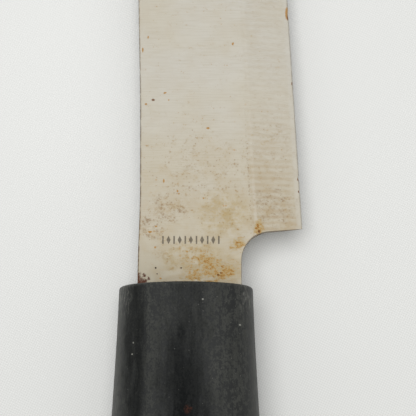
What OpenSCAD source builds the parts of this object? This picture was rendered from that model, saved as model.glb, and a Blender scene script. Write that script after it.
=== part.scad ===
// Single-bevel kitchen knife with a hidden stick tang in an oval moulded handle.
// Frame: +Y runs from the handle to the tip, +X from the spine to the cutting edge, and +Z out of the ground face.
// The origin is where the handle's centre line meets its front face, on the plane of the blade's flat back.

/* [Blade] */
// Thickness of the steel sheet
blade_t = 2.0; // [1.8:0.1:2.2]
// Length from the heel corner to the tip
blade_len = 210; // [180:5:270]
// Height of the blade at the heel, from spine to cutting edge
heel_h = 33.4; // [31:0.2:36]
// Distance of the spine from the handle's centre line, at the handle
spine_off = 9.7; // [9:0.1:11]
// Lean of the spine away from the handle's centre line, in degrees
spine_lean = 0.5; // [0:0.1:1.2]
// Lean of the straight part of the cutting edge towards the spine, in degrees
edge_lean = 2.8; // [1.5:0.1:3.5]
// Share of the blade's length over which the cutting edge is straight
straight_share = 0.5; // [0.4:0.05:0.6]
// Radius of the curved front part of the cutting edge
edge_curve_r = 280; // [260:5:320]
// Radius of the drop of the spine towards the tip
spine_curve_r = 620; // [560:10:700]
// Length of the spine's drop, back from the tip
spine_drop_len = 72; // [60:1:80]

/* [Bevel] */
// Width of the ground bevel, measured square to the cutting edge
bevel_w = 10.1; // [8:0.1:12]
// Width of the small sharpened bevel along the cutting edge
hone_w = 1.1; // [0.6:0.1:1.6]
// Thickness of the steel where the two bevels meet
hone_t = 0.38; // [0.3:0.01:0.6]
// Thickness left at the worn cutting edge
edge_t = 0.1; // [0.06:0.01:0.2]

/* [Neck and heel] */
// Distance of the neck's lower side from the handle's centre line
neck_off = 11.15; // [10.5:0.05:12]
// Length of the neck, from the handle to the heel corner
neck_len = 12.1; // [11:0.1:14]
// Slope of the heel line, in degrees
heel_slope = 6; // [0:0.5:8]
// Radius of the hollow between neck and heel
choil_r = 6.0; // [4:0.1:7]

/* [Tang] */
// Length of the tang inside the handle
tang_len = 80; // [72:1:84]
// Width of the tang at the neck
tang_w = 12; // [10:0.5:12.5]
// Width of the tang at its end
tang_end_w = 9; // [7:0.5:10]
// Steel ground off each face of the tang
tang_step = 0.1; // [0.05:0.05:0.2]
// Diameter of the two cross pins
pin_d = 3; // [2:0.5:4]
// Distance of the first cross pin behind the handle's front face
pin_first = 22; // [18:1:26]
// Distance of the second cross pin behind the handle's front face
pin_second = 62; // [56:1:66]

/* [Handle] */
// Length of the handle
handle_len = 130; // [125:1:140]
// Height of the handle's section at its front face
front_h = 26.8; // [25.8:0.1:28]
// Height of the handle's section where it is widest
belly_h = 32.5; // [31:0.1:34]
// Height of the handle's section just before the rounded butt
butt_h = 30; // [29:0.1:31]
// Thickness of the oval section as a share of its height
section_ratio = 0.78; // [0.76:0.01:0.84]
// Distance of the widest section behind the front face
belly_at = 70; // [64:1:76]
// Radius of the rounded rim at the front face
rim_r = 0.6; // [0.5:0.1:2]
// Radius of the rounded butt
butt_r = 5; // [4.5:0.5:6]
// Thickness of the moulded wall at the edges of the oval
wall = 2.8; // [2.4:0.1:3.0]
// Thickness of the handle's front wall
front_wall = 4.5; // [4:0.5:6]

/* [Inner parts] */
// Length of the core that holds the tang
holder_len = 82; // [80:1:88]
// Width of the core between its ribs
holder_w = 17; // [16:0.5:17]
// Thickness of the core between its ribs
holder_t = 9; // [8:0.5:10]
// Thickness of each of the core's ribs
rib_t = 3; // [2:0.5:5]
// Number of ribs along the core
rib_count = 4; // [2:1:6]
// Room between a rib and the inside of the handle
rib_gap = 0.1; // [0.05:0.05:0.3]
// Thickness of adhesive round the tang
glue_gap = 0.6; // [0.4:0.1:1]
// Width of the slot in the handle's front wall
slot_w = 14; // [13:0.5:16]
// Height of the slot in the handle's front wall
slot_t = 2.4; // [2.2:0.1:2.6]
// Thickness of the butt cap's rim
cap_rim = 4; // [3:0.5:4]
// Length of the butt cap's plug inside the handle
cap_plug = 9; // [8:1:12]
// Thickness of the wall round the hollow in the plug
plug_wall = 3; // [2:0.5:4]

/* [Hidden] */
$fn = 96;
// Facets of the long, nearly straight arcs
long_fn = 1440;
// How far a cut runs clear of a face
clear = 1;
// Height of the handle's centre line, which is the middle of the steel
axis_z = blade_t / 2;

// Heel corner of the cutting edge, and the point where its straight part bends into a curve
tip_y = neck_len + blade_len;
heel_pt = [heel_h - spine_off - neck_len * tan(spine_lean), neck_len];
straight_len = straight_share * blade_len;
bend_pt = heel_pt + straight_len * [-sin(edge_lean), cos(edge_lean)];

// Straight part of the spine, and the circle that it turns into
drop_y = tip_y - spine_drop_len;
drop_pt = [-spine_off - drop_y * tan(spine_lean), drop_y];
spine_c = drop_pt + spine_curve_r * [cos(spine_lean), sin(spine_lean)];

// Top of the neck's lower side, if it ran on to the heel line
neck_top = neck_len - (heel_pt.x - neck_off) * tan(heel_slope);
// Hollow between neck and heel: its centre is choil_r from the neck's side and from the heel line
choil_x = neck_off + choil_r;
choil_y = neck_len - (heel_pt.x - choil_x) * tan(heel_slope) - choil_r / cos(heel_slope);

// The flare of the handle is an S curve that starts a little in front of its front face
flare_lead = 12;
lead_share = s_curve(flare_lead / (belly_at + flare_lead));
flare_base = (front_h - lead_share * belly_h) / (1 - lead_share);
taper_len = handle_len - butt_r - belly_at;
// Distance of the butt cap's seat, and of the core's rear end, behind the handle's front face
cap_seat = handle_len - cap_rim;
holder_end = front_wall + holder_len;
// Angle of the butt's rounding at which the cap meets the shell
seat_angle = asin(1 - cap_rim / butt_r);
// Steps along the handle's side, and round each of its rounded ends
side_steps = 26;
round_steps = 6;

function s_curve(t) = t * t * (3 - 2 * t);
function flare_h(s) = flare_base + (belly_h - flare_base) * s_curve((s + flare_lead) / (belly_at + flare_lead));
function taper_h(s) = belly_h + (butt_h - belly_h) * s_curve(min((s - belly_at) / taper_len, 1));
// Half the height of the handle's section at a distance s behind its front face
function half_h(s) = (s < belly_at ? flare_h(s) : taper_h(s)) / 2;

// Outline points of the handle, each as [half height, distance behind the front face]
function rim_points() = [
    for (i = [0 : round_steps])
        let (a = 90 * i / round_steps)
        [half_h(rim_r) - rim_r * (1 - sin(a)), rim_r * (1 - cos(a))]
];
function side_points(s0, s1, inset) = [
    for (i = [0 : side_steps])
        let (s = s0 + (s1 - s0) * i / side_steps)
        [half_h(s) - inset, s]
];
function butt_point(a) = [butt_h / 2 - butt_r * (1 - cos(a)), handle_len - butt_r * (1 - sin(a))];

// Turns an outline about the handle's centre line and flattens it to the oval section
module oval(points) {
    first = points[0].y;
    last = points[len(points) - 1].y;
    translate([0, 0, axis_z])
        scale([1, 1, section_ratio])
            rotate([90, 0, 0])
                rotate_extrude()
                    polygon(concat([[0, first]], points, [[0, last]]));
}

// A block centred on the handle's centre line, from a distance s0 to a distance s1 behind the front face
module bar(w, t, s0, s1) {
    translate([-w / 2, -s1, axis_z - t / 2])
        cube([w, s1 - s0, t]);
}

// An eight-sided plate whose corners lie inset from the inside of the handle
module octagon(s0, s1, inset) {
    half = min(half_h(s0), half_h(s1)) - wall - inset;
    translate([0, -s0, axis_z])
        rotate([90, 0, 0])
            linear_extrude(s1 - s0)
                polygon([
                    for (k = [0 : 7])
                        let (a = 22.5 + 45 * k)
                        half * [cos(a), section_ratio * sin(a)]
                ]);
}

module pin_shafts(len) {
    for (s = [pin_first, pin_second])
        translate([0, -s, axis_z - len / 2])
            cylinder(d = pin_d, h = len);
}

// Moves between the part's frame and the edge frame, which has its origin at the bend in the cutting edge and its
// +Y along the straight part of the edge, towards the tip
module from_edge_frame() {
    translate(bend_pt)
        rotate(edge_lean)
            children();
}

module to_edge_frame() {
    rotate(-edge_lean)
        translate(-bend_pt)
            children();
}

// Neck, heel line and spine, run on past the cutting edge and the tip
module sheet_outline() {
    far_x = heel_pt.x + blade_len;
    far_y = 1.2 * tip_y;
    polygon([
        [-spine_off, 0],
        [neck_off, 0],
        [neck_off, neck_top],
        [far_x, neck_top + (far_x - neck_off) * tan(heel_slope)],
        [far_x, far_y],
        [-spine_off - far_y * tan(spine_lean), far_y]
    ]);
}

// Steel that fills the corner between neck and heel, down to the hollow. The circle is a hair larger than the
// hollow's radius, so that it crosses the straight sides and doesn't only touch them.
module choil_fill() {
    hair = 0.001;
    over_heel = choil_r + clear;
    difference() {
        polygon([
            [neck_off - clear, choil_y],
            [choil_x, choil_y],
            [choil_x - over_heel * sin(heel_slope), choil_y + over_heel * cos(heel_slope)],
            [neck_off - clear, neck_top + clear]
        ]);
        translate([choil_x, choil_y])
            circle(r = choil_r + hair);
    }
}

// What lies outside the dropped spine, in front of its straight part
module beyond_spine() {
    difference() {
        translate(drop_pt)
            rotate(spine_lean)
                translate([-blade_len / 4, 0])
                    square(blade_len);
        translate(spine_c)
            circle(r = spine_curve_r, $fn = long_fn);
    }
}

// What lies outside the cutting edge, in the edge frame
module beyond_edge() {
    reach = 2 * blade_len;
    translate([0, -reach])
        square(reach);
    difference() {
        translate([-reach, 0])
            square([2 * reach, reach]);
        translate([-edge_curve_r, 0])
            circle(r = edge_curve_r, $fn = long_fn);
    }
}

// Section of the steel that grinding takes away, as [distance in from the cutting edge, height]
function grind_points() = [
    [-clear, edge_t - clear * (hone_t - edge_t) / hone_w],
    [hone_w, hone_t],
    [bevel_w, blade_t],
    [bevel_w + clear, blade_t + clear * (blade_t - hone_t) / (bevel_w - hone_w)],
    [-clear, blade_t + 2 * clear]
];

// The two cuts of the grindstone, in the edge frame
module straight_grind() {
    heel_over = 4;
    rotate([90, 0, 0])
        linear_extrude(straight_len + heel_over)
            polygon([for (p = grind_points()) [-p.x, p.y]]);
}

module curved_grind() {
    past_tip = 30;
    translate([-edge_curve_r, 0])
        rotate_extrude(angle = past_tip, $fn = long_fn)
            polygon([for (p = grind_points()) [edge_curve_r - p.x, p.y]]);
}

module ground_sheet() {
    from_edge_frame()
        difference() {
            linear_extrude(blade_t)
                difference() {
                    to_edge_frame()
                        difference() {
                            union() {
                                sheet_outline();
                                choil_fill();
                            }
                            beyond_spine();
                        }
                    beyond_edge();
                }
            straight_grind();
            curved_grind();
        }
}

// The stick tang, which runs a little way into the neck
module tang() {
    root = 3;
    translate([0, 0, tang_step])
        linear_extrude(blade_t - 2 * tang_step)
            polygon([
                [-tang_w / 2, root],
                [tang_w / 2, root],
                [tang_end_w / 2, -tang_len],
                [-tang_end_w / 2, -tang_len]
            ]);
}

module blade() {
    color([0.77, 0.75, 0.71])
        difference() {
            union() {
                ground_sheet();
                tang();
            }
            pin_shafts(2 * blade_t);
        }
}

// The moulded shell, open at the rear
module handle() {
    color([0.13, 0.14, 0.14])
        difference() {
            oval(concat(rim_points(), side_points(rim_r + clear, handle_len - butt_r, 0), [butt_point(seat_angle)]));
            oval(side_points(front_wall, cap_seat + clear, wall));
            bar(slot_w, slot_t, -clear, front_wall + clear);
        }
}

// The resin that fills the slot in the front wall round the tang
module neck_seal() {
    color([0.25, 0.23, 0.2])
        difference() {
            bar(slot_w, slot_t, 0, front_wall);
            tang();
        }
}

// The ribbed core, with its slot for the tang and its two pin holes
module tang_holder() {
    rib_pitch = (holder_len - rib_t) / (rib_count - 1);
    color([0.5, 0.48, 0.42])
        difference() {
            union() {
                bar(holder_w, holder_t, front_wall, holder_end);
                for (i = [0 : rib_count - 1])
                    let (s = front_wall + i * rib_pitch)
                    octagon(s, s + rib_t, rib_gap);
            }
            bar(tang_w + 2 * glue_gap, blade_t + 2 * glue_gap, front_wall - clear, holder_end + clear);
            pin_shafts(2 * holder_t);
        }
}

// The two pins end flush with the core
module tang_pins() {
    color([0.7, 0.7, 0.7])
        pin_shafts(holder_t);
}

module tang_adhesive() {
    color([0.75, 0.6, 0.3])
        difference() {
            bar(tang_w + 2 * glue_gap, blade_t + 2 * glue_gap, front_wall, holder_end);
            tang();
            pin_shafts(2 * holder_t);
        }
}

// The rounded rim of the cap closes the shell, and its plug sits inside
module butt_cap() {
    plug_start = cap_seat - cap_plug;
    color([0.11, 0.12, 0.12])
        difference() {
            union() {
                oval([
                    for (i = [0 : round_steps])
                        butt_point(seat_angle + (90 - seat_angle) * i / round_steps)
                ]);
                octagon(plug_start, cap_seat + clear, rib_gap);
            }
            octagon(plug_start - clear, cap_seat - clear, plug_wall);
        }
}

blade();
handle();
neck_seal();
tang_holder();
tang_pins();
tang_adhesive();
butt_cap();
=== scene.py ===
"""Looks of a worn single-bevel kitchen knife lying on a pale cloth: fine meshes for the blade, the moulded
handle and the butt cap, and procedural steel, resin and adhesive.

Frame, as in the CAD: +Y runs from the handle to the tip, +X from the spine to the cutting edge, +Z out of
the ground face. Lengths are in millimetres and are turned to metres where an object is made.
"""

from math import acos, asin, cos, pi, radians, sin, tan

import bmesh
import bpy
import numpy as np
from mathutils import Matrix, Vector
from mathutils.geometry import tessellate_polygon


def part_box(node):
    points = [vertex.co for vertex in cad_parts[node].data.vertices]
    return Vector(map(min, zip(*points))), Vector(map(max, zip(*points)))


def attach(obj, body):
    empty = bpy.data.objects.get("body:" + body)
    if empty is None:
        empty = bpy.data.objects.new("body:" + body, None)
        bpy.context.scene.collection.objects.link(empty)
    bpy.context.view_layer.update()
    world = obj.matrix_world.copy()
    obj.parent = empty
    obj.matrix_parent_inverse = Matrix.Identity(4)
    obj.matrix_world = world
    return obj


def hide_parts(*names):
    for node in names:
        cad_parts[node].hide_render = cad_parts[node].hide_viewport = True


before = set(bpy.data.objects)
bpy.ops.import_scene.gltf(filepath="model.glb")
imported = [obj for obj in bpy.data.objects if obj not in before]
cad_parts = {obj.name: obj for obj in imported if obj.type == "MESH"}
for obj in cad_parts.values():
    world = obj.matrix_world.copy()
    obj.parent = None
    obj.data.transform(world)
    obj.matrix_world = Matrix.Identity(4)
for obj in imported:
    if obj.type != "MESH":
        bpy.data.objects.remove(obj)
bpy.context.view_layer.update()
MM = 0.001


# -------- sizes read from the frame

def box_mm(node):
    """Lowest and highest corner of a CAD node, in millimetres."""
    low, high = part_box(node)
    return low / MM, high / MM


BLADE_LOW, BLADE_HIGH = box_mm("blade")
HANDLE_LOW, HANDLE_HIGH = box_mm("handle")
CAP_LOW = box_mm("butt_cap")[0]
SLOT_LOW, SLOT_HIGH = box_mm("neck_seal")
PIN_LOW, PIN_HIGH = box_mm("tang_pins")

# Blade
SHEET = BLADE_HIGH.z
HEEL_X = BLADE_HIGH.x
TIP_Y = BLADE_HIGH.y
TANG_END_Y = BLADE_LOW.y
# Handle
AXIS_Z = (HANDLE_LOW.z + HANDLE_HIGH.z) / 2
BELLY_HALF = HANDLE_HIGH.x
SECTION_RATIO = (HANDLE_HIGH.z - AXIS_Z) / BELLY_HALF
SEAT_S = -HANDLE_LOW.y
HANDLE_LEN = -CAP_LOW.y
FRONT_WALL = -SLOT_LOW.y
PIN_R = (PIN_HIGH.x - PIN_LOW.x) / 2
PIN_YS = (PIN_HIGH.y - PIN_R, PIN_LOW.y + PIN_R)

# -------- driving dimensions of the design

# Spine: its distance from the centre line at the handle, its lean, and its drop to the tip
SPINE_OFF = 9.7
SPINE_LEAN = radians(0.5)
SPINE_R = 620.0
SPINE_DROP_LEN = 72.0
# The worn spine runs a little hollow: where the hollow deepens, where it fades, and its depth
HOLLOW_START = (2.0, 20.0)
HOLLOW_END = (34.0, 66.0)
HOLLOW_DEPTH = 0.45
# Cutting edge: its lean, its straight length and the radius of its front part
EDGE_LEAN = radians(2.8)
EDGE_STRAIGHT = 105.0
EDGE_R = 280.0
# Bevel and the small sharpened bevel on it
BEVEL_W = 10.1
HONE_W = 1.1
HONE_T = 0.38
EDGE_T = 0.1
# Neck, heel line and the hollow between them
NECK_X = 11.15
NECK_LEN = 12.1
HEEL_SLOPE = radians(6)
CHOIL_R = 6.0
# Tang: half its width at its root, which lies a little way inside the neck, and at its end, and its corners
TANG_ROOT_HALF = 6.0
TANG_ROOT_Y = 3.0
TANG_END_HALF = 4.5
TANG_CORNER = 1.5
# Chamfer along the blade's arrises, which is also the step from the blade's faces to the tang's
CHAMFER = 0.1
# Handle: its height at the front and at the rear, the place of its belly, and how its flare leads into it
FRONT_H = 26.8
BUTT_H = 30.0
BELLY_S = 70.0
FLARE_LEAD = 12.0
# Radii of its rim and of its rear end, its wall, and the length, wall and gap of the cap's plug
RIM_R = 0.6
BUTT_R = 5.0
WALL = 2.8
CAP_PLUG = 9.0
PLUG_WALL = 3.0
PLUG_GAP = 0.1
# Depth of the fine groove at the parting line of handle and cap
SEAM = 0.12

# Half the tang's width where it comes out of the neck
TANG_TAPER = (TANG_ROOT_HALF - TANG_END_HALF) / (TANG_ROOT_Y - TANG_END_Y)
TANG_HALF = TANG_ROOT_HALF - TANG_TAPER * TANG_ROOT_Y
# Where the cutting edge bends, where the spine starts to drop, and the centres of the arcs of both
HEEL = Vector((HEEL_X, NECK_LEN))
BEND = HEEL + EDGE_STRAIGHT * Vector((-sin(EDGE_LEAN), cos(EDGE_LEAN)))
EDGE_C = BEND - EDGE_R * Vector((cos(EDGE_LEAN), sin(EDGE_LEAN)))
DROP_Y = TIP_Y - SPINE_DROP_LEN
SPINE_C = Vector((-SPINE_OFF - DROP_Y * tan(SPINE_LEAN), DROP_Y))
SPINE_C += SPINE_R * Vector((cos(SPINE_LEAN), sin(SPINE_LEAN)))
# Centre of the hollow between the neck and the heel line
CHOIL = Vector((NECK_X + CHOIL_R, 0))
CHOIL.y = NECK_LEN - (HEEL_X - CHOIL.x) * tan(HEEL_SLOPE) - CHOIL_R / cos(HEEL_SLOPE)


# -------- mesh helpers

def add_object(name, data):
    obj = bpy.data.objects.new(name, data)
    bpy.context.scene.collection.objects.link(obj)
    return obj


def make_object(name, points, faces):
    """A smooth mesh object from points in millimetres, its faces turned outwards."""
    mesh = bpy.data.meshes.new(name)
    mesh.from_pydata((np.asarray(points, float) * MM).tolist(), [], faces)
    draft = bmesh.new()
    draft.from_mesh(mesh)
    bmesh.ops.recalc_face_normals(draft, faces=draft.faces)
    for face in draft.faces:
        face.smooth = True
    closed = all(edge.is_manifold for edge in draft.edges)
    if not closed or draft.calc_volume(signed=True) <= 0:
        raise ValueError(f"{name} isn't a closed solid")
    draft.to_mesh(mesh)
    draft.free()
    return add_object(name, mesh)


def smooth_step(t):
    """0 for t below 0, 1 for t above 1, smooth in between."""
    t = np.clip(t, 0, 1)
    return t * t * (3 - 2 * t)


def soft_ramp(t, width):
    """0 below 0 and t above it, rounded over width on each side."""
    return np.where(t > width, t, np.where(t < -width, 0, (t + width) ** 2 / (4 * width)))


# -------- blade

# Small nicks worn into the cutting edge: (distance from the handle, half width, depth)
NICKS = [
    (19.9, 0.35, 0.12), (22.7, 0.5, 0.18), (41.0, 0.4, 0.07), (58.1, 0.9, 0.14), (96.0, 0.8, 0.15),
    (131.0, 1.0, 0.2), (178.0, 1.1, 0.16)
]
# Columns of the mesh across the bevel, as distances in from the cutting edge
BEVEL_COLUMNS = [
    10.6, 10.35, 10.1, 9.85, 9.6, 9.0, 8.2, 7.4, 6.6, 5.8, 5.0, 4.2, 3.4, 2.7, 2.1, 1.6, 1.25, 1.1, 0.95,
    0.6, 0.3, 0.03
]
# Share of the blade's width that the bevel may take up near the tip
BEVEL_ROOM = 0.93
# How many columns of the mesh lie on each side of the tang, across it, and round the hollow
SIDE_COLUMNS = 4
TANG_COLUMNS = 11
CHOIL_COLUMNS = 6
# Sides of a pin hole
HOLE_SIDES = 32
# Distance of the support line that keeps an arris crisp, in from the chamfer
SUPPORT = 0.12
# Rows of the mesh: where they stop following the heel, where they widen, their numbers and spacing
LEVEL_Y = 20.0
FINE_END_Y = 64.0
HEEL_ROWS = 62
FINE_STEP = 0.25
WIDE_STEP = 0.5
TIP_ROWS = 131
# How far the rows bulge to round the tip, and the length over which they do
TIP_ROUND = 0.7
TIP_BULGE_LEN = 3.0
# Half the width over which the bends at the bevel and at the sharpened bevel are rounded
BEVEL_SOFT = 0.3
HONE_SOFT = 0.1
# Waves that a hand-held grind leaves in the bevel: height, and length over 2 pi; the long ones also drift
LONG_WAVE = (0.006, 1.35)
SHORT_WAVE = (0.004, 0.71)
WAVE_DRIFT = 5.1


def spine_x(y):
    """The x of the spine, with its slight hollow in front of the handle."""
    straight = -SPINE_OFF - y * tan(SPINE_LEAN)
    dropped = SPINE_C.x - np.sqrt(SPINE_R ** 2 - (y - SPINE_C.y) ** 2)
    deepen, fade = (smooth_step((y - low) / (high - low)) for low, high in (HOLLOW_START, HOLLOW_END))
    return np.where(y < DROP_Y, straight, dropped) + HOLLOW_DEPTH * (deepen - fade)


def past_bend(x, y):
    """How far a point lies past the bend in the cutting edge, measured along the straight edge."""
    return (y - BEND.y) * cos(EDGE_LEAN) - (x - BEND.x) * sin(EDGE_LEAN)


def edge_distance(x, y):
    """How far a point lies inside the cutting edge."""
    straight = (HEEL_X - x - (y - NECK_LEN) * tan(EDGE_LEAN)) * cos(EDGE_LEAN)
    curved = EDGE_R - np.hypot(x - EDGE_C.x, y - EDGE_C.y)
    return np.where(past_bend(x, y) < 0, straight, curved)


def x_at_distance(distance, y):
    """The x of the line that runs at a distance inside the cutting edge."""
    straight = HEEL_X - (y - NECK_LEN) * tan(EDGE_LEAN) - distance / cos(EDGE_LEAN)
    curved = EDGE_C.x + np.sqrt((EDGE_R - distance) ** 2 - (y - EDGE_C.y) ** 2)
    return np.where(past_bend(straight, y) < 0, straight, curved)


def heel_y(x):
    """Height of the choil hollow and of the heel line, one chamfer inside the steel's outline."""
    radius = CHOIL_R + CHAMFER
    hollow = CHOIL.y + np.sqrt(np.clip(radius ** 2 - (x - CHOIL.x) ** 2, 0, None))
    line = NECK_LEN - (HEEL_X - x) * tan(HEEL_SLOPE) + CHAMFER / cos(HEEL_SLOPE)
    return np.where(x < CHOIL.x - radius * sin(HEEL_SLOPE), hollow, line)


def steel_height(x, y):
    """Height of the ground face over the flat back."""
    distance = edge_distance(x, y)
    bevel_slope = (SHEET - HONE_T) / (BEVEL_W - HONE_W)
    hone_slope = (HONE_T - EDGE_T) / HONE_W
    bevel = soft_ramp(BEVEL_W - distance, BEVEL_SOFT)
    hone = soft_ramp(HONE_W - distance, HONE_SOFT)
    along = past_bend(x, y)
    waves = LONG_WAVE[0] * np.sin(along / LONG_WAVE[1] + np.sin(along / WAVE_DRIFT))
    waves += SHORT_WAVE[0] * np.sin(along / SHORT_WAVE[1] + 2)
    waves *= smooth_step((BEVEL_W - distance) / 2) * smooth_step(distance / 2)
    return SHEET - bevel_slope * bevel - (hone_slope - bevel_slope) * hone - np.abs(waves)


def column_starts():
    """Places on row zero, from the spine to the cutting edge, and how many columns run down the neck."""
    left = np.linspace(-SPINE_OFF + CHAMFER + SUPPORT, -TANG_HALF, SIDE_COLUMNS + 1)
    middle = np.linspace(-TANG_HALF, TANG_HALF, TANG_COLUMNS + 1)[1:]
    right = np.linspace(TANG_HALF, NECK_X - CHAMFER - SUPPORT, SIDE_COLUMNS + 1)[1:]
    neck = np.hstack([[-SPINE_OFF + CHAMFER], left, middle, right, [NECK_X - CHAMFER]])
    # Bevel columns start where their lines cross the heel line; each round comes closer to that place
    bevel_x = np.full(len(BEVEL_COLUMNS), CHOIL.x)
    for _ in range(40):
        bevel_x = x_at_distance(np.array(BEVEL_COLUMNS), heel_y(bevel_x))
    # Columns between them are spaced evenly round the hollow
    radius = CHOIL_R + CHAMFER
    last_angle = acos((CHOIL.x - bevel_x[0]) / radius)
    angles = np.linspace(0, last_angle, CHOIL_COLUMNS + 1)[1:-1]
    hollow_x = CHOIL.x - radius * np.cos(angles)
    xs = np.hstack([neck, hollow_x, bevel_x])
    ys = np.hstack([np.full(len(neck), CHOIL.y), heel_y(hollow_x), heel_y(bevel_x)])
    return xs, ys, len(neck)


def blade_rows(start_y):
    """The y of every mesh point from row zero to the tip, one line for each row."""
    rise = np.hstack([[0, 0.008], np.linspace(0.02, 1, HEEL_ROWS)])
    rows = [start_y + (LEVEL_Y - start_y) * t for t in rise]
    fine = np.arange(LEVEL_Y + FINE_STEP, FINE_END_Y, FINE_STEP)
    middle = np.arange(FINE_END_Y, BEND.y, WIDE_STEP)
    coarse = np.linspace(BEND.y, TIP_Y - TIP_ROUND, TIP_ROWS)
    rows += [np.full(len(start_y), y) for y in np.hstack([fine, middle, coarse])]
    return np.array(rows)


def blade_plan():
    """Rows by columns of x and of y, the row where the neck ends, and the neck's last column."""
    start_x, start_y, neck_count = column_starts()
    bevel_first = len(start_x) - len(BEVEL_COLUMNS)
    y = blade_rows(start_y)
    x = np.empty_like(y)
    # Near the tip the bevel takes up the whole width, so its columns draw together
    spine = spine_x(y[:, 0]) + CHAMFER
    room = edge_distance(spine, y[:, 0])
    squeeze = np.minimum(1, BEVEL_ROOM * room / BEVEL_COLUMNS[0])
    nick = sum(depth * np.exp(-(((y[:, -1] - place) / half) ** 2)) for place, half, depth in NICKS)
    for k, distance in enumerate(BEVEL_COLUMNS):
        worn = nick * max(0, 1 - distance / HONE_W)
        column = bevel_first + k
        x[:, column] = x_at_distance(squeeze * distance + worn, y[:, column])
    # Columns of the flat are spaced evenly, and near the heel they lead over to the places on row zero
    share = np.hstack([[0], np.linspace(0, 1, bevel_first)[:-1]])
    support = np.minimum(SUPPORT, 0.1 * room)
    lead = smooth_step((y - start_y) / (LEVEL_Y - start_y))
    for c in range(bevel_first):
        right = x_at_distance(squeeze * BEVEL_COLUMNS[0], y[:, c])
        left = spine_x(y[:, c]) + CHAMFER
        even = left + (support if c else 0) + share[c] * (right - left - support)
        lean = (spine_x(y[:, c]) + SPINE_OFF) * (1 - share[c])
        x[:, c] = lead[:, c] * even + (1 - lead[:, c]) * (start_x[c] + lean)
    # The last rows bulge, so that the tip is rounded
    across = 2 * (x - x[:, :1]) / (x[:, -1:] - x[:, :1]) - 1
    near_tip = smooth_step((y - TIP_Y + TIP_BULGE_LEN) / (TIP_BULGE_LEN - TIP_ROUND))
    y = y + near_tip * TIP_ROUND * 0.8 * (1 - across ** 2)
    # Rows of the neck
    neck_y = np.arange(0, CHOIL.y - 0.1, FINE_STEP)
    neck_share = share[:neck_count]
    neck_rows = [start_x[:neck_count] + (spine_x(v) + SPINE_OFF) * (1 - neck_share) for v in neck_y]
    pad = np.full((len(neck_y), x.shape[1] - neck_count), np.nan)
    x = np.vstack([np.hstack([np.array(neck_rows), pad]), x])
    y = np.vstack([np.hstack([np.repeat(neck_y[:, None], neck_count, 1), pad]), y])
    return x, y, len(neck_y), neck_count - 1


def outline_of(row_count, column_count, neck_rows, neck_column):
    """The plan's boundary as (row, column), counterclockwise from the rear of the neck at the spine."""
    path = [(0, c) for c in range(neck_column + 1)]
    path += [(r, neck_column) for r in range(1, neck_rows + 1)]
    path += [(neck_rows, c) for c in range(neck_column + 1, column_count)]
    path += [(r, column_count - 1) for r in range(neck_rows + 1, row_count)]
    path += [(row_count - 1, c) for c in range(column_count - 2, -1, -1)]
    path += [(r, 0) for r in range(row_count - 2, 0, -1)]
    return path


def outward_normals(loop):
    """Outward normal at each point of a counterclockwise loop, lengthened at corners."""
    ahead = np.roll(loop, -1, 0) - loop
    ahead /= np.linalg.norm(ahead, axis=1)[:, None]
    side = np.stack([ahead[:, 1], -ahead[:, 0]], 1)
    before = np.roll(side, 1, 0)
    total = side + before
    total /= np.linalg.norm(total, axis=1)[:, None]
    return total / np.maximum(0.6, np.sum(total * side, 1))[:, None]


def tang_outline():
    """The tang's outline from its root at the spine side, round its end, to its root at the edge side."""
    narrowing = TANG_HALF - TANG_END_HALF
    left = [(-TANG_HALF + narrowing * t, TANG_END_Y * t) for t in np.linspace(0, 0.97, 30)[1:]]
    for angle in np.linspace(pi, 1.5 * pi, 7):
        x = -TANG_END_HALF + TANG_CORNER * (1 + cos(angle))
        left.append((x, TANG_END_Y + TANG_CORNER * (1 + sin(angle))))
    return left + [(-x, y) for x, y in reversed(left)]


def hole_outline(y):
    """Outline of a pin hole, its flat sides touching the pin."""
    radius = PIN_R / cos(pi / HOLE_SIDES)
    angles = np.arange(HOLE_SIDES) * 2 * pi / HOLE_SIDES
    return [(radius * cos(a), y + radius * sin(a)) for a in angles]


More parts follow.
